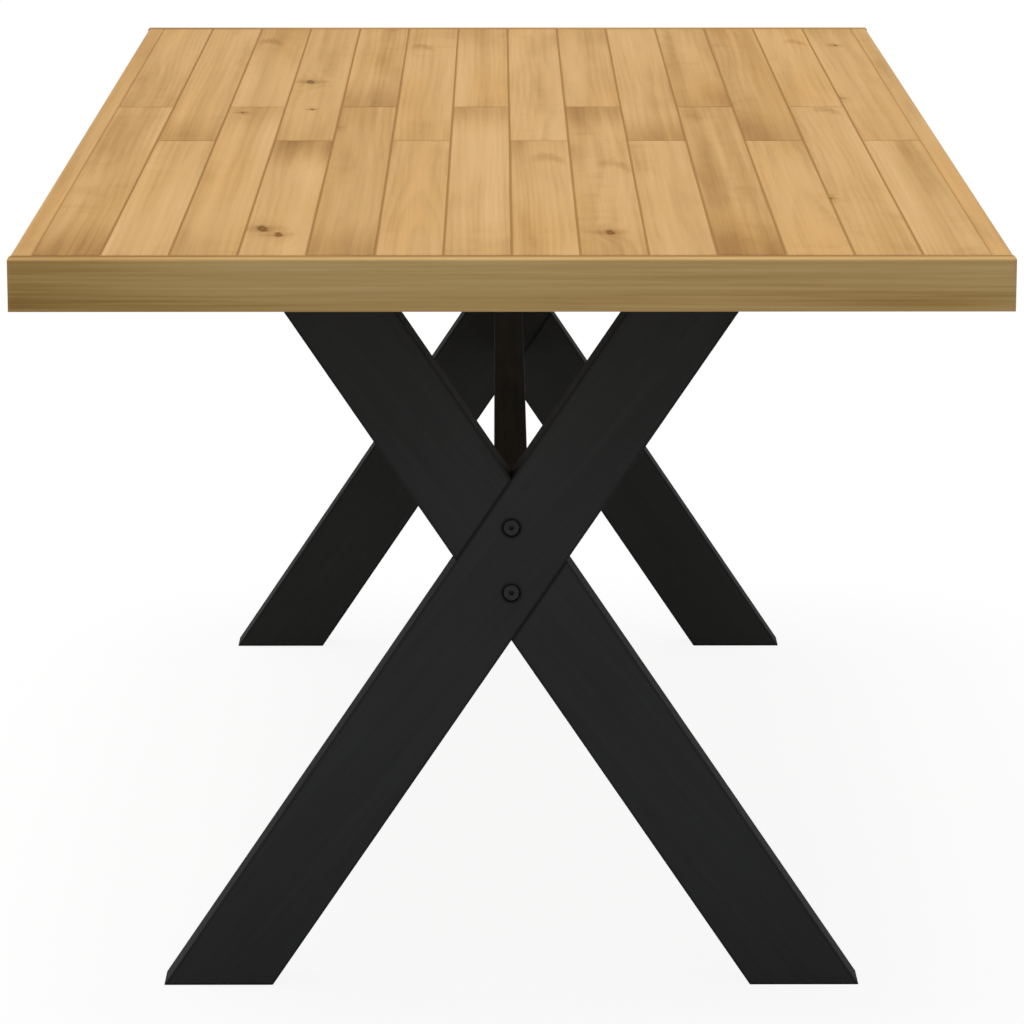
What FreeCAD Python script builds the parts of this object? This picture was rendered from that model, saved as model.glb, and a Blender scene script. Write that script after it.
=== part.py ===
import FreeCAD, Part
import math
import os

# Sawbuck dining table. A boarded top with a deep edging stands on two X-shaped leg frames.
# The legs of a frame are halved into each other where they cross and tenoned into a crossbar
# under the boards. A stretcher on edge is bolted between the two crossings.
# X runs across the table, Y along it, Z up from the floor, and the front end is at -Y.
# Lengths are in millimetres.

# Whole table
table_length = 1800.0
table_width = 900.0
table_height = 740.0

# Boards of the top, tongued and grooved along their edges and tongued at their outer ends
board_columns = 14
board_thickness = 20.0
joint_offset = 135.0
board_easing = 1.0
tongue_length = 6.0
tongue_thickness = 6.0
end_tongue_length = 9.0
tongue_side_clearance = 0.1
tongue_tip_clearance = 0.5

# Edging round the boards, with the side rails tenoned into the end boards
edging_height = 48.0
end_board_thickness = 20.0
side_rail_thickness = 20.0
side_rail_round = 4.0
end_board_round = 2.5
edging_easing = 1.0
rail_tenon_length = 12.0
rail_tenon_thickness = 8.0
rail_tenon_height = 24.0
rail_tenon_setback = 9.0

# Crossbars and battens that lie flat under the boards
crossbar_width = 95.0
crossbar_thickness = 25.0
batten_width = 70.0
batten_thickness = 25.0
bar_end_clearance = 0.5
bar_easing = 3.0

# Leg frames
frame_setback = 198.0
leg_width = 87.0
leg_thickness = 45.0
leg_easing = 1.5
foot_offset = 282.0
crossing_height = 419.0
lap_clearance = 0.15
leg_tenon_width = 60.0
leg_tenon_thickness = 20.0
leg_tenon_height = 12.0

# Room round every tenon in its mortise
tenon_side_clearance = 0.1
tenon_tip_clearance = 0.5

# Stretcher
stretcher_thickness = 33.0
stretcher_height = 90.0
stretcher_easing = 1.5

# Connector bolts through the crossings, and their barrel nuts in the stretcher
bolt_diameter = 8.0
bolt_hole_clearance = 0.4
bolt_head_diameter = 16.0
bolt_head_height = 3.6
bolt_head_easing = 0.9
bolt_head_recess = 1.0
bolt_edge_distance = 13.5
bolt_past_nut = 5.0
counterbore_diameter = 17.6
hex_across_flats = 5.0
hex_depth = 4.5
thread_clearance = 0.1
nut_diameter = 12.0
nut_hole_clearance = 0.1
nut_inset = 45.0
nut_cover = 8.0
nut_recess = 1.5
nut_slot_width = 1.6
nut_slot_depth = 1.5

# Blunt connector screws that lock the legs' tenons in the crossbars
leg_screw_diameter = 7.0
leg_screw_head_diameter = 13.0
leg_screw_head_height = 4.0
leg_screw_head_recess = 0.6
leg_screw_bite = 55.0
leg_screw_clearance = 0.1

# Every cut runs this far past the face it opens
overrun = 1.0

# Directions
Vector = FreeCAD.Vector
ORIGIN = Vector(0, 0, 0)
TO_THE_LEFT = Vector(-1, 0, 0)
TO_THE_REAR = Vector(0, 1, 0)
UP = Vector(0, 0, 1)
DOWN = Vector(0, 0, -1)

# Places worked out from the sizes above
outer_front = -table_length / 2
outer_left = -table_width / 2
inner_front = outer_front + end_board_thickness
inner_left = outer_left + side_rail_thickness
top_of_boards = table_height
under_boards = table_height - board_thickness
under_edging = table_height - edging_height
board_middle = under_boards + board_thickness / 2
board_width = -2 * inner_left / board_columns
tongue_low = board_middle - tongue_thickness / 2
tongue_high = board_middle + tongue_thickness / 2
groove_low = tongue_low - tongue_side_clearance
groove_high = tongue_high + tongue_side_clearance
groove_depth = tongue_length + tongue_tip_clearance
top_of_legs = under_boards - crossbar_thickness
frame_front = outer_front + frame_setback
frame_rear = frame_front + leg_thickness
frame_middle = (frame_front + frame_rear) / 2
lean_run = foot_offset / crossing_height
lean_cosine = 1 / math.hypot(1, lean_run)
leg_half_run = leg_width / 2 / lean_cosine
leg_top_offset = lean_run * (top_of_legs - crossing_height)
leg_screw_offset = leg_top_offset - lean_run * leg_screw_bite / 2
leg_screw_seat_z = under_boards - leg_screw_head_recess - leg_screw_head_height
leg_screw_length = leg_screw_seat_z - top_of_legs + leg_screw_bite
counterbore_depth = bolt_head_height + bolt_head_recess
bolt_seat_y = frame_front + counterbore_depth
nut_y = frame_rear + nut_inset
nut_depth = stretcher_thickness - nut_cover
bolt_length = nut_y + bolt_past_nut - bolt_seat_y
bolt_heights = [
    crossing_height + side * (stretcher_height / 2 - bolt_edge_distance) for side in (-1, 1)
]


def polygon_face(points):
    """A flat face inside straight lines through the points."""
    return Part.Face(Part.makePolygon(points + points[:1]))


def extrude_along_y(outline, y_start, y_end):
    """A solid whose outline of (x, z) points runs along the table."""
    face = polygon_face([Vector(x, y_start, z) for x, z in outline])
    return face.extrude(Vector(0, y_end - y_start, 0))


def extrude_along_x(outline, x_start, x_end):
    """A solid whose outline of (y, z) points runs across the table."""
    face = polygon_face([Vector(x_start, y, z) for y, z in outline])
    return face.extrude(Vector(x_end - x_start, 0, 0))


def block(x_range, y_range, z_range):
    """A box between two places on each axis."""
    low, high = (Vector(*corner) for corner in zip(x_range, y_range, z_range))
    size = high - low
    return Part.makeBox(size.x, size.y, size.z, low)


def rod(start, direction, diameter, length):
    """A plain cylinder from a point in a direction."""
    return Part.makeCylinder(diameter / 2, length, start, direction)


def headed_rod(seat, direction, head_diameter, head_height, shank_diameter, shank_length):
    """A shank that starts at a seat, with a wider head on the near side of it."""
    head = rod(seat - direction * head_height, direction, head_diameter, head_height)
    return head.fuse(rod(seat, direction, shank_diameter, shank_length))


def turned(shape):
    """The same piece at the other end of the table, half a turn about the upright axis."""
    copy = shape.copy()
    copy.rotate(ORIGIN, UP, 180)
    return copy


def mirrored(shape):
    """The same piece on the other side of the table."""
    return shape.mirror(ORIGIN, TO_THE_LEFT)


def with_turned(shapes):
    """The shapes at the front and the same shapes at the rear."""
    return shapes + [turned(shape) for shape in shapes]


def edges_at(shape, **places):
    """The edges that lie wholly at the given x, y or z."""
    near = overrun / 100
    found = []
    for edge in shape.Edges:
        box = edge.BoundBox
        spans = {"x": (box.XMin, box.XMax), "y": (box.YMin, box.YMax), "z": (box.ZMin, box.ZMax)}
        if all(abs(end - place) < near for axis, place in places.items() for end in spans[axis]):
            found.append(edge)
    return found


def edges_along(shape, direction):
    """The straight edges that run in a direction."""
    found = []
    for edge in shape.Edges:
        run = edge.Vertexes[-1].Point - edge.Vertexes[0].Point
        if run.cross(direction).Length < run.Length * direction.Length / 1000:
            found.append(edge)
    return found


# Boards
def column_joint(column):
    """Where the two boards of a column meet: past the middle, then before it, in turn."""
    return joint_offset if column % 2 == 0 else -joint_offset


def board_outline(left, right):
    """The section of a board: eased upper edges, a groove on the left and a tongue on the right."""
    shoulder = top_of_boards - board_easing
    tip = right + tongue_length
    groove_end = left + groove_depth
    return [
        (left, under_boards),
        (right, under_boards),
        (right, tongue_low),
        (tip, tongue_low),
        (tip, tongue_high),
        (right, tongue_high),
        (right, shoulder),
        (right - board_easing, top_of_boards),
        (left + board_easing, top_of_boards),
        (left, shoulder),
        (left, groove_high),
        (groove_end, groove_high),
        (groove_end, groove_low),
        (left, groove_low),
    ]


def end_bevel(y_end, inward):
    """The wedge that eases the upper edge across the end of a board."""
    outside = y_end - inward * overrun
    outline = [
        (outside, top_of_boards - board_easing - overrun),
        (outside, top_of_boards + overrun),
        (y_end + inward * (board_easing + overrun), top_of_boards + overrun),
    ]
    return extrude_along_x(outline, outer_left, -outer_left)


def board(column, y_start, y_end, outer_end, outward):
    """One board of a column, eased at both ends and tongued at the end that meets the end board."""
    left = inner_left + column * board_width
    right = left + board_width
    solid = extrude_along_y(board_outline(left, right), y_start, y_end)
    solid = solid.cut([end_bevel(y_start, 1), end_bevel(y_end, -1)])
    tip = outer_end + outward * end_tongue_length
    end_tongue = block(
        (left + groove_depth, right), sorted((outer_end, tip)), (tongue_low, tongue_high)
    )
    return solid.fuse(end_tongue).removeSplitter()


def boards():
    """Two boards in each column, long and short by turns, named from left to right."""
    nodes = {}
    for column in range(board_columns):
        joint = column_joint(column)
        name = f"top_board_{column + 1:02d}"
        nodes[f"{name}_front"] = [board(column, inner_front, joint, inner_front, -1)]
        nodes[f"{name}_rear"] = [board(column, joint, -inner_front, -inner_front, 1)]
    return nodes


# Edging
def rail_tenon(spare_side, spare_tip):
    """The front tenon of the left side rail, or its mortise where there is room to spare."""
    outer = outer_left + rail_tenon_setback
    middle = under_edging + edging_height / 2
    half = rail_tenon_height / 2 + spare_side
    return block(
        (outer - spare_side, outer + rail_tenon_thickness + spare_side),
        (inner_front - rail_tenon_length - spare_tip, inner_front),
        (middle - half, middle + half),
    )


def end_board():
    """The front end board. It runs the full width and takes the ends of the boards and rails."""
    outline = [
        (outer_front, under_edging),
        (inner_front, under_edging),
        (inner_front, top_of_boards - board_easing),
        (inner_front - board_easing, top_of_boards),
        (outer_front, top_of_boards),
    ]
    solid = extrude_along_x(outline, outer_left, -outer_left)
    solid = solid.makeFillet(end_board_round, edges_at(solid, y=outer_front, z=top_of_boards))
    eased = edges_at(solid, y=outer_front, z=under_edging)
    eased += edges_at(solid, x=outer_left, z=top_of_boards)
    eased += edges_at(solid, x=-outer_left, z=top_of_boards)
    solid = solid.makeChamfer(edging_easing, eased)
    groove = block(
        (inner_left, -inner_left),
        (inner_front - end_tongue_length - tongue_tip_clearance, inner_front + overrun),
        (groove_low, groove_high),
    )
    mortise = rail_tenon(tenon_side_clearance, tenon_tip_clearance)
    return solid.cut([groove, mortise, mirrored(mortise)])


def side_rail_blank():
    """A left side rail before it is tongued or grooved, with its upper outer edge rounded."""
    outline = [
        (outer_left, under_edging),
        (inner_left, under_edging),
        (inner_left, top_of_boards - board_easing),
        (inner_left - board_easing, top_of_boards),
        (outer_left, top_of_boards),
    ]
    solid = extrude_along_y(outline, inner_front, -inner_front)
    solid = solid.makeFillet(side_rail_round, edges_at(solid, x=outer_left, z=top_of_boards))
    solid = solid.makeChamfer(edging_easing, edges_at(solid, x=outer_left, z=under_edging))
    tenon = rail_tenon(0, 0)
    return solid.fuse([tenon, mirrored(turned(tenon))]).removeSplitter()


def left_side_rail():
    """The left rail, whose tongue enters the groove of the first column of boards."""
    tongue = block(
        (inner_left, inner_left + tongue_length),
        (inner_front, -inner_front),
        (tongue_low, tongue_high),
    )
    return side_rail_blank().fuse(tongue).removeSplitter()


def right_side_rail():
    """The right rail, whose groove takes the tongue of the last column of boards."""
    groove = block(
        (-inner_left - overrun, -inner_left + groove_depth),
        (inner_front - overrun, -inner_front + overrun),
        (groove_low, groove_high),
    )
    return turned(side_rail_blank()).cut(groove)


# Bolts and barrel nuts
def hex_prism(centre, direction, across_flats, length):
    """A six-sided prism from a point in a direction."""
    corner = across_flats / 2 / math.cos(math.pi / 6)
    angles = [k * math.pi / 3 for k in range(6)]
    points = [Vector(corner * math.cos(a), corner * math.sin(a), 0) for a in angles]
    prism = polygon_face(points).extrude(UP * length)
    prism.Placement = FreeCAD.Placement(centre, FreeCAD.Rotation(UP, direction))
    return prism


def bolt_seat(height):
    """Where the underside of a bolt's head bears, on the floor of its counterbore."""
    return Vector(0, bolt_seat_y, height)


def connector_bolt(height):
    """A flat-headed bolt with a hexagon socket, set through the front crossing."""
    seat = bolt_seat(height)
    bolt = headed_rod(
        seat, TO_THE_REAR, bolt_head_diameter, bolt_head_height, bolt_diameter, bolt_length
    )
    head_top = seat - TO_THE_REAR * bolt_head_height
    bolt = bolt.makeChamfer(bolt_head_easing, edges_at(bolt, y=head_top.y))
    mouth = head_top - TO_THE_REAR * overrun
    return bolt.cut(hex_prism(mouth, TO_THE_REAR, hex_across_flats, hex_depth + overrun))


def bolt_hole(height):
    """The counterbored hole for a bolt, from outside the front frame to past the bolt's tip."""
    return headed_rod(
        bolt_seat(height),
        TO_THE_REAR,
        counterbore_diameter,
        counterbore_depth + overrun,
        bolt_diameter + 2 * bolt_hole_clearance,
        bolt_length + bolt_hole_clearance,
    )


def nut_mouth(height):
    """The middle of the mouth of a nut's hole, on the right face of the stretcher."""
    return Vector(stretcher_thickness / 2, nut_y, height)


def barrel_nut(height):
    """A barrel nut in the stretcher, with its thread across it and a slot to turn it by."""
    face = nut_mouth(height) + TO_THE_LEFT * nut_recess
    nut = rod(face, TO_THE_LEFT, nut_diameter, nut_depth - nut_recess)
    thread_start = Vector(0, nut_y - nut_diameter, height)
    thread = rod(thread_start, TO_THE_REAR, bolt_diameter + 2 * thread_clearance, 2 * nut_diameter)
    slot = block(
        (face.x - nut_slot_depth, face.x + overrun),
        (nut_y - nut_diameter, nut_y + nut_diameter),
        (height - nut_slot_width / 2, height + nut_slot_width / 2),
    )
    return nut.cut([thread, slot])


def nut_hole(height):
    """The blind hole for a barrel nut."""
    start = nut_mouth(height) - TO_THE_LEFT * overrun
    return rod(start, TO_THE_LEFT, nut_diameter + 2 * nut_hole_clearance, nut_depth + overrun)


# Screws in the upper ends of the legs
def leg_screw_seat(lean):
    """Where the underside of a leg screw's head bears, in the crossbar."""
    return Vector(lean * leg_screw_offset, frame_middle, leg_screw_seat_z)


def leg_screw(lean):
    """The screw that locks the tenon of a front leg."""
    return headed_rod(
        leg_screw_seat(lean),
        DOWN,
        leg_screw_head_diameter,
        leg_screw_head_height,
        leg_screw_diameter,
        leg_screw_length,
    )


def leg_screw_hole(lean):
    """The counterbored hole for that screw, through the crossbar and into the leg."""
    return headed_rod(
        leg_screw_seat(lean),
        DOWN,
        leg_screw_head_diameter + 2 * leg_screw_clearance,
        leg_screw_head_height + leg_screw_head_recess + overrun,
        leg_screw_diameter + 2 * leg_screw_clearance,
        leg_screw_length + leg_screw_clearance,
    )


# Leg frames
def leg_outline(lean, spare):
    """A leg seen from the front: it leans by the lean's sign and is cut level at floor and top."""
    half = leg_half_run + spare / lean_cosine
    foot = -lean * foot_offset
    head = lean * leg_top_offset
    return [
        (foot - half, 0),
        (foot + half, 0),
        (head + half, top_of_legs),
        (head - half, top_of_legs),
    ]


def leg_tenon(lean, spare_side, spare_tip):
    """The tenon on a front leg, or its mortise in the crossbar where there is room to spare."""
    middle = lean * leg_top_offset
    half_width = leg_tenon_width / 2 + spare_side
    half_thickness = leg_tenon_thickness / 2 + spare_side
    return block(
        (middle - half_width, middle + half_width),
        (frame_middle - half_thickness, frame_middle + half_thickness),
        (top_of_legs, top_of_legs + leg_tenon_height + spare_tip),
    )


def leg(lean, notch_start, notch_end):
    """A front leg with eased edges, halved between two places to let the other leg through."""
    solid = extrude_along_y(leg_outline(lean, 0), frame_front, frame_rear)
    solid = solid.makeFillet(leg_easing, edges_along(solid, Vector(lean * lean_run, 0, 1)))
    notch = extrude_along_y(leg_outline(-lean, lap_clearance), notch_start, notch_end)
    solid = solid.cut(notch).fuse(leg_tenon(lean, 0, 0)).removeSplitter()
    return solid.cut([bolt_hole(height) for height in bolt_heights] + [leg_screw_hole(lean)])


def outer_leg():
    """The leg whose outer half runs on through the crossing; its foot is on the left."""
    return leg(1, frame_middle, frame_rear + overrun)


def inner_leg():
    """The leg whose inner half runs on through the crossing; its foot is on the right."""
    return leg(-1, frame_front - overrun, frame_middle)


def bar(y_middle, width, thickness):
    """A bar that lies flat under the boards between the side rails, with its lower edges rounded."""
    x_end = -inner_left - bar_end_clearance
    bottom = under_boards - thickness
    front = y_middle - width / 2
    rear = y_middle + width / 2
    solid = block((-x_end, x_end), (front, rear), (bottom, under_boards))
    lower = edges_at(solid, y=front, z=bottom) + edges_at(solid, y=rear, z=bottom)
    return solid.makeFillet(bar_easing, lower)


def crossbar():
    """The bar that joins the upper ends of the front legs, mortised for their tenons."""
    solid = bar(frame_middle, crossbar_width, crossbar_thickness)
    mortises = [leg_tenon(lean, tenon_side_clearance, tenon_tip_clearance) for lean in (-1, 1)]
    return solid.cut(mortises + [leg_screw_hole(lean) for lean in (-1, 1)])


def stretcher():
    """The board on edge between the inner faces of the two frames, at the height of the crossings."""
    half = stretcher_thickness / 2
    low = crossing_height - stretcher_height / 2
    solid = block((-half, half), (frame_rear, -frame_rear), (low, low + stretcher_height))
    solid = solid.makeFillet(stretcher_easing, edges_along(solid, TO_THE_REAR))
    holes = [bolt_hole(height) for height in bolt_heights] + [nut_hole(height) for height in bolt_heights]
    return solid.cut(with_turned(holes))


def all_nodes():
    """Every separate piece, by the name of its node."""
    nodes = boards()
    nodes["front_end_board"] = [end_board()]
    nodes["rear_end_board"] = [turned(end_board())]
    nodes["left_side_rail"] = [left_side_rail()]
    nodes["right_side_rail"] = [right_side_rail()]
    nodes["front_joint_batten"] = [bar(-joint_offset, batten_width, batten_thickness)]
    nodes["rear_joint_batten"] = [bar(joint_offset, batten_width, batten_thickness)]
    nodes["front_crossbar"] = [crossbar()]
    nodes["rear_crossbar"] = [turned(crossbar())]
    nodes["front_left_leg"] = [outer_leg()]
    nodes["front_right_leg"] = [inner_leg()]
    nodes["rear_right_leg"] = [turned(outer_leg())]
    nodes["rear_left_leg"] = [turned(inner_leg())]
    nodes["stretcher"] = [stretcher()]
    nodes["crossing_bolts"] = with_turned([connector_bolt(height) for height in bolt_heights])
    nodes["stretcher_barrel_nuts"] = with_turned([barrel_nut(height) for height in bolt_heights])
    nodes["leg_screws"] = with_turned([leg_screw(lean) for lean in (-1, 1)])
    return nodes


os.makedirs("parts", exist_ok=True)
for node_name, solids in all_nodes().items():
    shape = solids[0] if len(solids) == 1 else Part.makeCompound(solids)
    shape.exportStep(f"parts/{node_name}.step")
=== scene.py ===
import math

import bmesh
import bpy
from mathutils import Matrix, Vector


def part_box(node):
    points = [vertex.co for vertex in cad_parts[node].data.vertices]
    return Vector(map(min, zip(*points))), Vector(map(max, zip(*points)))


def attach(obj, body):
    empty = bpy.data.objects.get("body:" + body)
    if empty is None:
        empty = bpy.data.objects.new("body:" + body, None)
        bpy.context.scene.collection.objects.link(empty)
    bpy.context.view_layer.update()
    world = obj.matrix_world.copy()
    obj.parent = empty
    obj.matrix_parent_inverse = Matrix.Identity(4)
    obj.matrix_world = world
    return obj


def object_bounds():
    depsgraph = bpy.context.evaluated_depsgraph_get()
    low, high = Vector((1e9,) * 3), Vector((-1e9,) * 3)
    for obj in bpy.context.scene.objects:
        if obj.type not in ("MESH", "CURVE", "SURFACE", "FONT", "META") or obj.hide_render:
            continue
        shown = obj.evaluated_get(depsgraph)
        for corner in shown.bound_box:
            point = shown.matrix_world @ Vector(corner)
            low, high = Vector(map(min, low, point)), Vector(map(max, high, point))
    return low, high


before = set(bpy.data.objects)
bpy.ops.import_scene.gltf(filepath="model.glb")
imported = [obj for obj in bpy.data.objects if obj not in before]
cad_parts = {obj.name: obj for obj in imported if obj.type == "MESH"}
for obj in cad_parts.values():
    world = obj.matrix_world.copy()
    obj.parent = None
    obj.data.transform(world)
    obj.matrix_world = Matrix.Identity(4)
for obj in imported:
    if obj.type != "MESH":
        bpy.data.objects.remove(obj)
cad_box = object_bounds()

MM = 0.001
TABLE_TOP = cad_box[1][2]
X_AXIS, Y_AXIS = 0, 1
FACE_TOLERANCE = 0.01 * MM

# Camera: the photograph's viewpoint, a long lens that looks down the length of the table
CAMERA_PLACE = (-0.0133, -5.13, 1.4319)
CAMERA_TILT = 0.21475
CAMERA_PAN = 0.00313
CAMERA_LENS = 169.0
SENSOR_WIDTH = 36.0

# Studio: light from all round, a broad sun overhead and a pale floor
SKY_STRENGTH = 0.47
SKY_TINT = (0.96, 1.0, 1.0, 1)
SUN_STRENGTH = 1.68
SUN_TINT = (1.0, 0.985, 0.97)
SUN_ANGLE = math.radians(38)
SUN_DIRECTION = (0.12, -0.10, -1)
WHITE = (1, 1, 1, 1)
FLOOR_SIZE = 120.0
FLOOR_COLOUR = (0.43, 0.465, 0.465, 1)
FLOOR_SHADOW_COLOUR = (0.11, 0.11, 0.11, 1)
FLOOR_GLOW = 0.9


def srgb(red, green, blue):
    """A colour as it shows on screen, 0 to 255, turned into the linear values that shaders take."""
    def linear(level):
        share = level / 255
        return share / 12.92 if share <= 0.04045 else ((share + 0.055) / 1.055) ** 2.4
    return (linear(red), linear(green), linear(blue), 1)


# Pine, as (darkness, colour) steps
BOARD_PINE = (
    (0.0, srgb(226, 184, 129)),
    (0.3, srgb(211, 168, 110)),
    (0.62, srgb(187, 144, 85)),
    (1.0, srgb(150, 108, 54)),
)
EDGING_PINE = (
    (0.0, srgb(224, 186, 128)),
    (0.3, srgb(209, 169, 110)),
    (0.62, srgb(185, 145, 86)),
    (1.0, srgb(147, 109, 57)),
)
PLANED_PINE = (
    (0.0, srgb(236, 212, 170)),
    (0.3, srgb(226, 198, 150)),
    (0.62, srgb(206, 172, 120)),
    (1.0, srgb(176, 138, 88)),
)
BLUSH = (1.0, 0.94, 0.84, 1)
WORN_EDGE = srgb(204, 158, 102)
GROOVE_BROWN = srgb(184, 141, 84)
KNOT_COLOURS = ((0.0, srgb(150, 102, 42)), (0.5, srgb(112, 72, 26)), (1.0, srgb(170, 124, 62)))

# Growth rings
RING_WIDTH = 4.2 * MM
RING_WANDER = 26 * MM
RING_WAVINESS = 3 * MM
SEED_STEP = (3.71, 11.3, 5.93)

# Layers of the grain, in waves per metre across it, along it and through it
PINE_WAVES = {
    "streak": (300, 3.0, 300),
    "short_streak": (320, 5.0, 320),
    "fibre": (1500, 26, 1500),
    "broad": (44, 0.6, 44),
    "blotch": (22, 2.4, 22),
    "patch": (9, 2.2, 9),
    "figure": (26, 20, 26),
    "wobble": (160, 90, 160),
    "blush": (14, 1.4, 14),
    "wear": (60, 9, 60),
    "waviness": (40, 6, 40),
    "late_wood": (14, 1.8, 14),
    "lane": (12, 2.6, 12),
    "wander": (0.6, 0.9, 0.6),
}

# How much each layer darkens the wood
PINE_DARKNESS = 0.31
TONE_STRENGTH = -0.42
STRENGTH = {
    "ring": 0.12,
    "streak": 0.3,
    "fibre": 0.1,
    "broad": 0.62,
    "blotch": 0.18,
    "figure": 0.12,
    "end": 0.62,
    "lane": 0.5,
    "halo": 0.12,
    "stain": 0.22,
    "curl": 0.24,
    # Painted shade beside the grooves and joints, and along the end boards' inner edges
    "seam_painted_shade": 0.34,
    "inner_painted_shade": 0.8,
}

# Knots are longer along the grain, with a stain across it
KNOT_SLENDERNESS = 0.34
KNOT_SLANT = 0.35
STAIN_SHAPE = (0.3, 0.34)
SMALLEST = 1e-5

# How far the shade at the end of a board reaches
END_SHADE_REACH = 0.24

# Soft painted shade along the sides of the boards, less at their tight end joints, and
# along the inner edges of the end boards
SIDE_SHADE_REACH = 0.9 * MM
JOINT_SHADE_REACH = 6 * MM
JOINT_SHADE_SHARE = 0.42
INNER_SHADE_REACH = 18 * MM

# The eased edges of the boards, whose grooves get dust and painted shade
GROOVE_TOP = TABLE_TOP - 0.03 * MM
GROOVE_BOTTOM = TABLE_TOP - 0.4 * MM
GROOVE_FLOOR = TABLE_TOP - 5 * MM

# Wear along other edges: how far in it reaches and its most strength
EDGE_WEAR = (2 * MM, 0.5)
END_BOARD_WEAR = (6 * MM, 0.9)
LEAST_WEAR_SHARE = 0.2


def board(tone, ends=(0.0, 0.0), lane=(0, 0, 0.0), knots=(), flame=(0, 0, 0)):
    """How one board looks: pale (+) or dark (-), shade at its front and rear ends, a dark lane along it
    (mm from its middle, half-width in mm, depth), and knots and a curl of darker grain (x and y on the
    table and radius, in mm)."""
    place, half_width, depth = lane
    spots = [tuple(size * MM for size in knot) for knot in knots] + [(0.0, 0.0, 0.0)] * 2
    return {
        "tone": tone,
        "end_shades": (*ends, 0.0),
        "lane": (place * MM, half_width * MM, depth),
        "knot_a": spots[0],
        "knot_b": spots[1],
        "flame": tuple(size * MM for size in flame),
    }


# Boards of the top, by column from the left
BOARDS = {
    "01_front": board(-0.05, ends=(0.7, 0.0), lane=(-16, 12, 0.4)),
    "02_front": board(0.3, ends=(0.0, 0.3)),
    "03_front": board(0.1, ends=(0.3, 0.5), knots=[(-291, 89, 2.6)]),
    "04_front": board(0.15, ends=(0.0, 0.8), knots=[(-230, -727, 7), (-214, -762, 5)]),
    "05_front": board(-0.15, ends=(0.5, 0.0), knots=[(-186, -33, 3)]),
    "06_front": board(0.05, lane=(-20, 9, 0.3)),
    "07_front": board(0.2, ends=(0.3, 0.6)),
    "08_front": board(0.15, ends=(0.0, 0.35), lane=(-14, 12, 0.3), flame=(40, -256, 17)),
    "09_front": board(0.0, ends=(0.25, 0.6), knots=[(91, -750, 5)], flame=(103, -300, 17)),
    "10_front": board(0.15, lane=(-22, 8, 0.35)),
    "11_front": board(-0.15, ends=(0.55, 0.0), lane=(-17, 14, 0.5)),
    "12_front": board(0.2, ends=(0.0, 0.15), lane=(-10, 9, 0.25)),
    "13_front": board(0.1, ends=(0.1, 0.1), knots=[(307, -538, 3)], flame=(347, 110, 14)),
    "14_front": board(0.1, lane=(14, 11, 0.45)),
    "01_rear": board(0.0, ends=(0.3, 0.0), lane=(-18, 12, 0.3)),
    "02_rear": board(0.0, ends=(0.5, 0.0)),
    "03_rear": board(0.1, ends=(0.1, 0.3), flame=(-288, 750, 15)),
    "04_rear": board(-0.1, ends=(0.25, 0.1), knots=[(-227, 353, 6), (-216, 115, 2.5)]),
    "05_rear": board(-0.1, ends=(0.5, 0.0), lane=(8, 12, 0.6)),
    "06_rear": board(0.1, ends=(0.2, 0.1), flame=(-104, 700, 14)),
    "07_rear": board(0.0, ends=(0.0, 0.3)),
    "08_rear": board(0.2, lane=(2, 9, 0.4)),
    "09_rear": board(0.05, ends=(0.0, 0.3)),
    "10_rear": board(0.1, ends=(0.65, 0.0)),
    "11_rear": board(-0.05, ends=(0.3, 0.0)),
    "12_rear": board(-0.2, ends=(0.35, 0.0), lane=(-14, 14, 0.45)),
    "13_rear": board(0.2, flame=(350, 745, 14)),
    "14_rear": board(0.0, ends=(0.0, 0.3), knots=[(367, 209, 4), (398, 707, 3)]),
}

# The end boards are cut far from the pith, so their lines run level, with a dark lane low down on the face
END_BOARD = {
    "tone": 0.46,
    "pith": (120 * MM, 20 * MM, 0.0),
    "end_shades": (0.75, 0.0, 0.0),
    "lane": (-39 * MM, 8 * MM, 0.5),
}
# Painted shade: the stretcher, in the shade under the top, is painted darker than the legs
STRETCHER_PAINTED_SHADE = -0.45

# Pan-head screws under the crossbars and battens, in mm: (radius, drop) down the head, then its cross recess
SCREW_PROFILE = ((4.5, 0.0), (4.5, 0.7), (4.2, 1.7), (3.5, 2.4), (2.6, 2.8))
RECESS_MOUTH = 2.85
RECESS_FLOOR = 1.4
RECESS_TIP = 1.1
RECESS_RADII = (0.75, 2.1)
RECESS_TAPER = 0.6
SCREW_SEGMENTS = 32
SCREW_TURN = math.radians(37)
SCREW_SHARPNESS = math.radians(35)
CROSSBAR_SCREW_OFFSET = 30 * MM
JOINT_SCREW_OFFSET = 20 * MM


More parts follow.
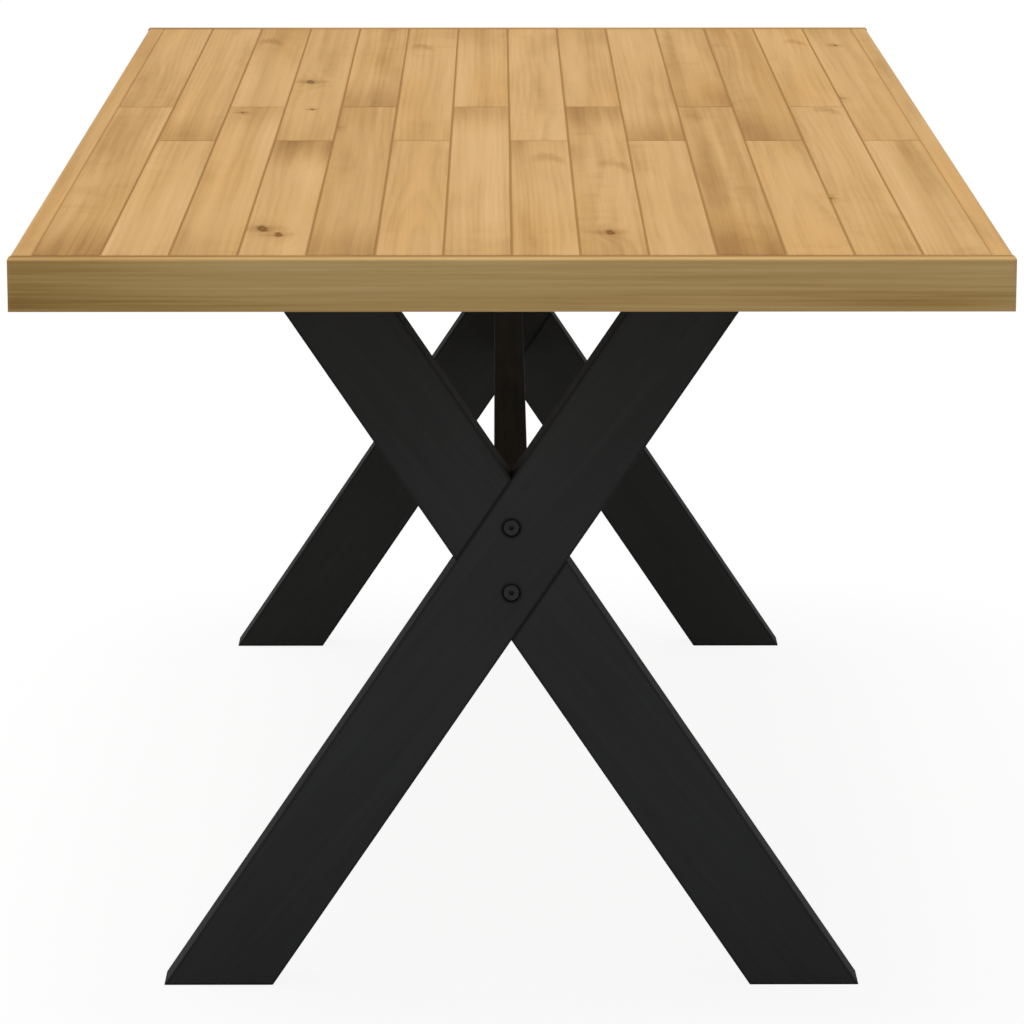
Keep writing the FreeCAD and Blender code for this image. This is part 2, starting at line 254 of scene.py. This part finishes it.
class Graph:
    """Short calls that build one node tree."""

    def __init__(self, owner):
        owner.use_nodes = True
        self.owner = owner
        self.tree = owner.node_tree
        self.tree.nodes.clear()

    def node(self, kind, inputs, **settings):
        made = self.tree.nodes.new("ShaderNode" + kind)
        for key, value in settings.items():
            setattr(made, key, value)
        for socket, value in inputs.items():
            self.feed(made.inputs[socket], value)
        return made

    def feed(self, socket, value):
        if isinstance(value, bpy.types.NodeSocket):
            self.tree.links.new(value, socket)
        else:
            socket.default_value = value

    def calc(self, operation, *values):
        return self.node("Math", dict(enumerate(values)), operation=operation).outputs[0]

    def add(self, *values):
        total = values[0]
        for value in values[1:]:
            total = self.calc("ADD", total, value)
        return total

    def less(self, a, b):
        return self.calc("SUBTRACT", a, b)

    def times(self, *values):
        product = values[0]
        for value in values[1:]:
            product = self.calc("MULTIPLY", product, value)
        return product

    def over(self, a, b):
        """a divided by b, where b may be 0."""
        return self.calc("DIVIDE", a, self.calc("MAXIMUM", b, SMALLEST))

    def length(self, a, b):
        return self.calc("SQRT", self.add(self.times(a, a), self.times(b, b)))

    def vector(self, operation, *values):
        return self.node("VectorMath", dict(enumerate(values)), operation=operation).outputs[0]

    def dot(self, a, b):
        return self.node("VectorMath", {0: a, 1: b}, operation="DOT_PRODUCT").outputs["Value"]

    def scaled(self, vector, factor):
        return self.node("VectorMath", {"Vector": vector, "Scale": factor}, operation="SCALE").outputs[0]

    def split(self, vector):
        return self.node("SeparateXYZ", {0: vector}).outputs[:]

    def join(self, x, y, z):
        return self.node("CombineXYZ", {0: x, 1: y, 2: z}).outputs[0]

    def place(self):
        return self.node("TexCoord", {}).outputs["Object"]

    def number(self, name):
        """A number that each object carries as a property."""
        return self.node("Attribute", {}, attribute_type="OBJECT", attribute_name=name).outputs["Fac"]

    def triple(self, name):
        """Three numbers that each object carries as a property."""
        return self.node("Attribute", {}, attribute_type="OBJECT", attribute_name=name).outputs["Vector"]

    def noise(self, vector, detail=2.0, distortion=0.0):
        inputs = {"Vector": vector, "Scale": 1.0, "Detail": detail, "Distortion": distortion}
        return self.node("TexNoise", inputs)

    def waves(self, vector, per_metre, **settings):
        """Noise from 0 to 1, with that many waves per metre along each axis."""
        return self.noise(self.vector("MULTIPLY", vector, per_metre), **settings).outputs["Fac"]

    def swing(self, value, size):
        """A value from 0 to 1 turned into one from -size / 2 to size / 2."""
        return self.times(self.less(value, 0.5), size)

    def step(self, value, low, high, start=0.0, end=1.0):
        """A smooth change from start to end as value goes from low to high."""
        inputs = {"Value": value, "From Min": low, "From Max": high, "To Min": start, "To Max": end}
        return self.node("MapRange", inputs, interpolation_type="SMOOTHSTEP").outputs["Result"]

    def ramp(self, value, stops):
        """A colour for each value, from (value, colour) pairs."""
        made = self.node("ValToRGB", {"Fac": value})
        elements = made.color_ramp.elements
        for _ in stops[2:]:
            elements.new(1.0)
        for element, (place, colour) in zip(elements, stops):
            element.position = place
            element.color = colour
        return made.outputs["Color"]

    def mix(self, factor, a, b, blend="MIX"):
        made = self.node("Mix", {}, data_type="RGBA", blend_type=blend)
        for index, value in ((0, factor), (6, a), (7, b)):
            self.feed(made.inputs[index], value)
        return made.outputs[2]

    def edge(self, radius):
        """1 along the outer edges of a piece, 0 elsewhere."""
        rounded = self.node("Bevel", {"Radius": radius}, samples=6).outputs[0]
        flat = self.node("NewGeometry", {}).outputs["Normal"]
        return self.step(self.dot(rounded, flat), 0.995, 0.93)

    def bump(self, height, depth):
        return self.node("Bump", {"Height": height, "Distance": depth, "Strength": 0.5}).outputs["Normal"]

    def seen(self):
        """1 for rays from the camera, straight, mirrored or through glass."""
        rays = self.node("LightPath", {}).outputs
        return self.add(rays["Is Camera Ray"], rays["Is Glossy Ray"], rays["Is Transmission Ray"])

    def finish(self, **inputs):
        shader = self.node("BsdfPrincipled", {key.replace("_", " "): value for key, value in inputs.items()})
        self.node("OutputMaterial", {"Surface": shader.outputs[0]})
        return self.owner


def add_object(name, data):
    made = bpy.data.objects.new(name, data)
    bpy.context.collection.objects.link(made)
    return made


def new_graph(name):
    return Graph(bpy.data.materials.new(name))


def knot(g, place, name, wobble):
    """One knot that an object carries: distance from it in radii, the swell of the rings and its stain."""
    x, y, _ = g.split(place)
    knot_x, knot_y, radius = g.split(g.triple(name))
    across = g.over(g.less(x, knot_x), radius)
    along = g.over(g.less(y, knot_y), radius)
    slanted = g.add(g.times(along, KNOT_SLENDERNESS), g.times(across, KNOT_SLANT))
    distance = g.add(g.length(across, slanted), wobble)
    nearness = g.calc("EXPONENT", g.times(distance, distance, -0.12))
    wide, long = STAIN_SHAPE
    stain = g.step(g.add(g.length(g.times(across, wide), g.times(along, long)), wobble), 0.2, 1.5, 1.0, 0.0)
    return distance, g.times(nearness, radius), stain


def curl(g, place, wobble):
    """The darker arch of grain beside a hidden knot."""
    x, y, _ = g.split(place)
    flame_x, flame_y, radius = g.split(g.triple("flame"))
    across = g.over(g.less(x, flame_x), radius)
    along = g.over(g.less(y, flame_y), radius)
    arch = g.add(g.times(along, 0.32), g.times(across, 0.3), g.times(across, across, 0.5), wobble)
    band = g.step(g.calc("ABSOLUTE", arch), 0.1, 0.8, 1.0, 0.0)
    return g.times(band, g.step(g.calc("ABSOLUTE", across), 0.5, 1.3, 1.0, 0.0))


def growth_rings(g, grain, across, depth, swell):
    """Late wood, 0 to 1, in rings about a pith that wanders along the wood."""
    wander = g.split(g.noise(g.vector("MULTIPLY", grain, PINE_WAVES["wander"]), detail=1).outputs["Color"])
    pith_across, pith_depth, _ = g.split(g.triple("pith"))
    radius = g.length(
        g.add(across, pith_across, g.swing(wander[0], RING_WANDER)),
        g.add(depth, pith_depth, g.swing(wander[1], RING_WANDER)),
    )
    waviness = g.times(g.waves(grain, PINE_WAVES["waviness"]), RING_WAVINESS)
    phase = g.calc("FRACT", g.calc("DIVIDE", g.add(radius, waviness, swell), RING_WIDTH))
    late_wood = g.less(g.step(phase, 0.2, 0.82), g.step(phase, 0.82, 1.0))
    return g.times(late_wood, g.step(g.waves(grain, PINE_WAVES["late_wood"]), 0.3, 0.7, 0.25, 1.0))


def end_shade(g, length, mottle):
    """Darkening towards the ends of a board."""
    half = g.number("half_length")
    front, rear, _ = g.split(g.triple("end_shades"))
    at_front = g.times(front, g.step(g.add(half, length), 0.0, END_SHADE_REACH, 1.0, 0.0))
    at_rear = g.times(rear, g.step(g.less(half, length), 0.0, END_SHADE_REACH, 1.0, 0.0))
    return g.times(g.add(at_front, at_rear), g.step(mottle, 0.0, 1.0, 0.85, 1.05))


def painted_seam_shade(g, across, to_end):
    """Painted shade close to the sides and ends of a board's upper face."""
    to_side = g.less(g.number("half_width"), g.calc("ABSOLUTE", across))
    at_side = g.step(to_side, 0.0, SIDE_SHADE_REACH, 1.0, 0.0)
    return g.calc("MAXIMUM", at_side, g.step(to_end, 0.0, JOINT_SHADE_REACH, JOINT_SHADE_SHARE, 0.0))


def groove_dust_and_painted_shade(g, place, to_end):
    """How much dust and painted shade darkens the groove round a board, 0 to 1."""
    height = g.split(place)[2]
    open_groove = g.calc("GREATER_THAN", height, GROOVE_FLOOR)
    at_end = g.step(to_end, -FACE_TOLERANCE, 0.0, JOINT_SHADE_SHARE, 1.0)
    return g.times(g.step(height, GROOVE_BOTTOM, GROOVE_TOP, 1.0, 0.0), open_groove, at_end)


def painted_inner_shade(g, depth):
    """Painted shade along the inner edge of an end board, beside the ends of the boards."""
    to_boards = g.less(g.number("half_width"), g.times(depth, g.number("inner_side")))
    return g.step(to_boards, 0.0, INNER_SHADE_REACH, 1.0, 0.0)


def dark_lane(g, grain, across):
    """One darker lane along a board, which comes and goes."""
    place, half_width, depth = g.split(g.triple("lane"))
    away = g.over(g.calc("ABSOLUTE", g.less(across, place)), half_width)
    comes_and_goes = g.step(g.waves(grain, PINE_WAVES["lane"]), 0.3, 0.65)
    return g.times(g.step(away, 0.2, 1.4, 1.0, 0.0), depth, comes_and_goes)


def pine(name, along, stops, rings=1.0, streaks=1.0, streak_kind="streak", mottle=1.0, wear=EDGE_WEAR,
         grooved=False, inner_painted_shade=False, roughness=0.58):
    """Pine with its grain along X or Y: growth rings, streaks, soft blotches and knots, with dust and
    painted shade in and beside the grooves between boards, or worn edges and, on an end board, painted shade
    along its inner edge."""
    g = new_graph(name)
    place = g.place()
    x, y, z = g.split(g.vector("SUBTRACT", place, g.triple("middle")))
    across, length, depth = (z, x, y) if along == X_AXIS else (x, y, z)
    seed = g.number("seed")
    offset = g.vector("MULTIPLY", g.join(seed, seed, seed), SEED_STEP)
    grain = g.vector("ADD", g.join(across, length, depth), offset)

    def layer(kind, **settings):
        return g.waves(grain, PINE_WAVES[kind], **settings)

    streak = layer(streak_kind, detail=3)
    fibre = layer("fibre")
    broad = layer("broad", detail=2)
    blotch = g.step(layer("blotch", detail=2, distortion=0.3), 0.42, 0.8)
    patch = g.step(layer("patch", detail=1), 0.48, 0.7)
    figure = g.times(patch, g.step(layer("figure", distortion=0.4), 0.45, 0.8))

    wobble = g.swing(layer("wobble"), 0.9)
    knots = [knot(g, place, spot, wobble) for spot in ("knot_a", "knot_b")]
    distance = g.calc("MINIMUM", knots[0][0], knots[1][0])
    swell = g.times(g.add(knots[0][1], knots[1][1]), 1.6)
    stain = g.calc("MAXIMUM", knots[0][2], knots[1][2])
    ring = growth_rings(g, grain, across, depth, swell)

    darkness = g.add(
        g.times(g.number("tone"), TONE_STRENGTH),
        PINE_DARKNESS,
        g.times(ring, STRENGTH["ring"] * rings),
        g.swing(streak, STRENGTH["streak"] * streaks),
        g.swing(fibre, STRENGTH["fibre"]),
        g.swing(broad, STRENGTH["broad"]),
        g.times(blotch, STRENGTH["blotch"] * mottle),
        g.times(figure, STRENGTH["figure"] * mottle),
        g.times(end_shade(g, length, blotch), STRENGTH["end"]),
        g.times(dark_lane(g, grain, across), STRENGTH["lane"]),
        g.times(g.step(distance, 1.0, 4.5, 1.0, 0.0), STRENGTH["halo"]),
        g.times(stain, STRENGTH["stain"]),
        g.times(curl(g, place, wobble), STRENGTH["curl"]),
    )
    to_end = g.less(g.number("half_length"), g.calc("ABSOLUTE", length))
    if grooved:
        # Painted shade beside the grooves and the end joints
        darkness = g.add(darkness, g.times(painted_seam_shade(g, across, to_end), STRENGTH["seam_painted_shade"]))
    if inner_painted_shade:
        # Painted shade along an end board's inner edge, beside the ends of the boards
        darkness = g.add(darkness, g.times(painted_inner_shade(g, depth), STRENGTH["inner_painted_shade"]))
    colour = g.ramp(darkness, stops)
    blush = g.times(g.step(layer("blush"), 0.4, 0.75), mottle)
    colour = g.mix(blush, colour, BLUSH, "MULTIPLY")
    colour = g.mix(g.step(distance, 0.6, 1.3, 1.0, 0.0), colour, g.ramp(distance, KNOT_COLOURS))
    if grooved:
        # Dust and painted shade in the grooves
        colour = g.mix(groove_dust_and_painted_shade(g, place, to_end), colour, GROOVE_BROWN)
    else:
        reach, most = wear
        patchy = g.step(layer("wear", detail=3), 0.35, 0.7, most * LEAST_WEAR_SHARE, most)
        worn = g.times(g.edge(reach), patchy)
        colour = g.mix(worn, colour, WORN_EDGE)

    relief = g.add(g.times(ring, 0.5), g.times(fibre, 0.6), g.times(streak, 0.5))
    return g.finish(
        Base_Color=colour,
        Roughness=g.add(roughness, g.times(ring, -0.06), g.swing(fibre, 0.16)),
        Normal=g.bump(relief, 0.06 * MM),
        Specular_IOR_Level=0.025,
    )


def black_paint():
    """Matt black paint on wood: grain shows through it, with faint streaks, and painted shade that darkens
    its edges.
    """
    g = new_graph("black_paint")
    place = g.place()
    direction = g.triple("grain_direction")
    lengthwise = g.scaled(direction, g.dot(place, direction))
    crosswise = g.vector("SUBTRACT", place, lengthwise)

    def drawn_out(across, along, **settings):
        """Noise with its waves per metre across and along the piece."""
        stretched = g.vector("ADD", g.scaled(crosswise, across), g.scaled(lengthwise, along))
        return g.noise(stretched, **settings).outputs["Fac"]

    pores = drawn_out(700, 14, detail=3)
    grain = drawn_out(120, 3, detail=3, distortion=0.4)
    cloud = drawn_out(9, 5, detail=3)
    speckle = g.waves(place, (2200, 2200, 2200), detail=1)
    edge = g.edge(5 * MM)

    shade = g.add(0.6, g.number("tone"), g.swing(cloud, 0.6), g.swing(grain, 0.45), g.swing(pores, 0.3))
    colour = g.ramp(shade, ((0.0, srgb(36, 36, 36)), (0.35, srgb(57, 56, 56)), (1.0, srgb(69, 68, 68))))
    # Painted shade: the eased edges are painted darker
    colour = g.mix(g.times(edge, 0.75), colour, srgb(28, 28, 29))
    relief = g.add(g.times(pores, 0.7), g.times(grain, 0.8), g.times(speckle, 0.25))
    return g.finish(
        Base_Color=colour,
        Roughness=g.add(0.74, g.swing(cloud, 0.2), g.times(edge, -0.1)),
        Normal=g.bump(relief, 0.05 * MM),
        Specular_IOR_Level=0.015,
    )


def black_bolt():
    """Satin black coating on steel, with small scuffs."""
    g = new_graph("black_bolt")
    place = g.place()
    cloud = g.waves(place, (260, 260, 260), detail=3)
    scuff = g.step(g.waves(place, (900, 200, 900), distortion=1.0), 0.62, 0.72)
    colour = g.ramp(cloud, ((0.3, srgb(42, 41, 40)), (0.7, srgb(55, 54, 52))))
    colour = g.mix(g.times(scuff, 0.3), colour, srgb(92, 91, 90))
    return g.finish(
        Base_Color=colour,
        Roughness=g.step(cloud, 0.3, 0.7, 0.36, 0.48),
        Normal=g.bump(g.waves(place, (3000, 3000, 3000)), 0.02 * MM),
        Specular_IOR_Level=0.15,
    )


def zinc():
    """Zinc-plated steel: a dull grey metal with pale and bluish clouds and fine marks."""
    g = new_graph("zinc_steel")
    place = g.place()
    cloud = g.waves(place, (180, 180, 180), detail=4)
    mark = g.waves(place, (2600, 500, 2600))
    stops = ((0.3, srgb(168, 172, 178)), (0.55, srgb(196, 196, 192)), (0.75, srgb(206, 202, 188)))
    return g.finish(
        Base_Color=g.ramp(cloud, stops),
        Metallic=1.0,
        Roughness=g.add(0.3, g.times(cloud, 0.16), g.times(mark, 0.08)),
        Normal=g.bump(mark, 0.02 * MM),
    )


def dress(node, material, **numbers):
    """Gives a node its material and the numbers that the material reads."""
    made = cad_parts[node]
    made.data.materials.clear()
    made.data.materials.append(material)
    for key, value in numbers.items():
        made[key] = value


def upper_face(node):
    """The lowest and highest corners of a node's upper face, which leave out tongues and eased edges."""
    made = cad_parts[node]
    points = [made.matrix_world @ vertex.co for vertex in made.data.vertices]
    top = max(point.z for point in points)
    face = [point for point in points if top - point.z < FACE_TOLERANCE]
    return tuple(Vector([pick(point[axis] for point in face) for axis in range(3)]) for pick in (min, max))


def dress_wood(node, material, along, seed, **numbers):
    """Gives a length of wood its material, with the place of its pith and of its middle."""
    low, high = upper_face(node)
    side = 1 if seed % 2 else -1
    pith = (side * (8 + 7 * (seed * 5 % 6)) * MM, (30 + 9 * (seed * 7 % 8)) * MM, 0.0)
    half = (high - low) / 2
    measured = {
        "middle": tuple((low + high) / 2),
        "half_length": half[along],
        "half_width": half[1 - along],
        "pith": pith,
    }
    dress(node, material, seed=float(seed), **(measured | numbers))


def dress_top():
    """Boards, edging and battens."""
    boards = pine("board_pine", Y_AXIS, BOARD_PINE, grooved=True)
    rails = pine("rail_pine", Y_AXIS, BOARD_PINE)
    ends = pine("end_board_pine", X_AXIS, EDGING_PINE, rings=0.8, streaks=2.6, streak_kind="short_streak",
                mottle=0.2, wear=END_BOARD_WEAR, inner_painted_shade=True)
    battens = pine("planed_pine", X_AXIS, PLANED_PINE, roughness=0.7)
    for seed, (name, look) in enumerate(BOARDS.items(), start=1):
        dress_wood(f"top_board_{name}", boards, Y_AXIS, seed, **look)
    for seed, side in enumerate(("left", "right"), start=41):
        dress_wood(f"{side}_side_rail", rails, Y_AXIS, seed)
    for seed, (end, inner_side) in enumerate((("front", 1.0), ("rear", -1.0)), start=51):
        dress_wood(f"{end}_end_board", ends, X_AXIS, seed, inner_side=inner_side, **END_BOARD)
        dress_wood(f"{end}_joint_batten", battens, X_AXIS, seed + 10)


def dress_frame():
    """Legs, crossbars and stretcher, with the paint's grain along each piece, and their fastenings."""
    paint = black_paint()
    for end in ("front", "rear"):
        for side, lean in (("left", 1), ("right", -1)):
            node = f"{end}_{side}_leg"
            low, high = (Vector(corner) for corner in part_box(node))
            run = Vector((lean * (high.x - low.x), 0, high.z - low.z))
            dress(node, paint, grain_direction=tuple(run.normalized()))
        dress(f"{end}_crossbar", paint, grain_direction=(1.0, 0.0, 0.0))
    # The stretcher's paint is darkened by painted shade
    dress("stretcher", paint, grain_direction=(0.0, 1.0, 0.0), tone=STRETCHER_PAINTED_SHADE)
    dress("crossing_bolts", black_bolt())


def screw_head(mesh, place, turn):
    """Adds one pan head that hangs from a place on the underside of a bar, with a cross recess."""
    angles = [2 * math.pi * k / SCREW_SEGMENTS for k in range(SCREW_SEGMENTS)]
    small, large = RECESS_RADII
    star = [small + (large - small) * math.cos(2 * angle) ** 4 for angle in angles]
    rings = [([radius] * SCREW_SEGMENTS, drop) for radius, drop in SCREW_PROFILE]
    rings += [(star, RECESS_MOUTH), ([radius * RECESS_TAPER for radius in star], RECESS_FLOOR)]
    rows = []
    for radii, drop in rings:
        row = []
        for radius, angle in zip(radii, angles):
            spoke = Vector((math.cos(angle + turn), math.sin(angle + turn), 0)) * radius
            row.append(mesh.verts.new(place + (spoke - Vector((0, 0, drop))) * MM))
        rows.append(row)
    tip = mesh.verts.new(place - Vector((0, 0, RECESS_TIP * MM)))
    mesh.faces.new(rows[0])
    for upper, lower in zip(rows, rows[1:]):
        for k in range(SCREW_SEGMENTS):
            mesh.faces.new((upper[k - 1], lower[k - 1], lower[k], upper[k]))
    for k in range(SCREW_SEGMENTS):
        mesh.faces.new((rows[-1][k - 1], tip, rows[-1][k]))


def bar_screws(bar, offsets_of, material):
    """The screws that hold the boards down to one bar, at offsets along the table for each column."""
    low, high = (Vector(corner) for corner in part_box(bar))
    middle = (low.y + high.y) / 2
    lefts = [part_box(f"top_board_{column:02d}_front")[0][0] for column in range(1, len(BOARDS) // 2 + 1)]
    half_column = (lefts[1] - lefts[0]) / 2
    mesh = bmesh.new()
    count = 0
    for column, left in enumerate(lefts, start=1):
        for offset in offsets_of(column):
            count += 1
            screw_head(mesh, Vector((left + half_column, middle + offset, low.z)), count * SCREW_TURN)
    bmesh.ops.recalc_face_normals(mesh, faces=mesh.faces)
    data = bpy.data.meshes.new(f"{bar}_screws")
    mesh.to_mesh(data)
    mesh.free()
    data.shade_smooth()
    data.set_sharp_from_angle(angle=SCREW_SHARPNESS)
    data.materials.append(material)
    made = add_object(data.name, data)
    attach(made, "root")


def fastenings():
    """Zinc-plated barrel nuts and screws."""
    steel = zinc()
    for node in ("stretcher_barrel_nuts", "leg_screws"):
        dress(node, steel)

    def staggered(column):
        return [CROSSBAR_SCREW_OFFSET * (1 if column % 2 else -1)]

    def astride(jointed):
        """Two screws where the boards of a column meet over the batten, one where a board runs on."""
        return lambda column: [-JOINT_SCREW_OFFSET, JOINT_SCREW_OFFSET] if column % 2 == jointed else [0.0]

    for end, jointed in (("front", 0), ("rear", 1)):
        bar_screws(f"{end}_crossbar", staggered, steel)
        bar_screws(f"{end}_joint_batten", astride(jointed), steel)


def floor():
    """A pale floor that shows white to the camera and keeps a soft shadow of the table."""
    g = new_graph("floor")
    plain = g.node("BsdfDiffuse", {"Color": FLOOR_COLOUR})
    shadowed = g.node("BsdfDiffuse", {"Color": FLOOR_SHADOW_COLOUR})
    glow = g.node("Emission", {"Color": WHITE, "Strength": FLOOR_GLOW})
    white = g.node("AddShader", {0: shadowed.outputs[0], 1: glow.outputs[0]})
    mixed = g.node("MixShader", {0: g.seen(), 1: plain.outputs[0], 2: white.outputs[0]})
    g.node("OutputMaterial", {"Surface": mixed.outputs[0]})

    mesh = bpy.data.meshes.new("floor")
    half = FLOOR_SIZE / 2
    corners = [(-half, -half, 0), (half, -half, 0), (half, half, 0), (-half, half, 0)]
    mesh.from_pydata(corners, [], [(0, 1, 2, 3)])
    mesh.materials.append(g.owner)
    add_object("floor", mesh)


def sky():
    """Even light from all round, with white behind the table."""
    world = bpy.data.worlds.new("studio")
    bpy.context.scene.world = world
    g = Graph(world)
    light = g.node("Background", {"Color": SKY_TINT, "Strength": SKY_STRENGTH})
    white = g.node("Background", {"Color": WHITE, "Strength": 1.0})
    mixed = g.node("MixShader", {0: g.seen(), 1: light.outputs[0], 2: white.outputs[0]})
    g.node("OutputWorld", {"Surface": mixed.outputs[0]})


def sun():
    light = bpy.data.lights.new("sun", "SUN")
    light.energy = SUN_STRENGTH
    light.color = SUN_TINT
    light.angle = SUN_ANGLE
    made = add_object("sun", light)
    made.rotation_euler = Vector(SUN_DIRECTION).to_track_quat("-Z", "Y").to_euler()


def camera():
    lens = bpy.data.cameras.new("camera")
    lens.lens = CAMERA_LENS
    lens.sensor_width = SENSOR_WIDTH
    made = add_object("camera", lens)
    made.location = CAMERA_PLACE
    made.rotation_euler = (math.pi / 2 - CAMERA_TILT, 0, -CAMERA_PAN)
    bpy.context.scene.camera = made


camera()
floor()
sky()
sun()
bpy.context.scene.view_settings.view_transform = "Standard"
dress_top()
dress_frame()
fastenings()
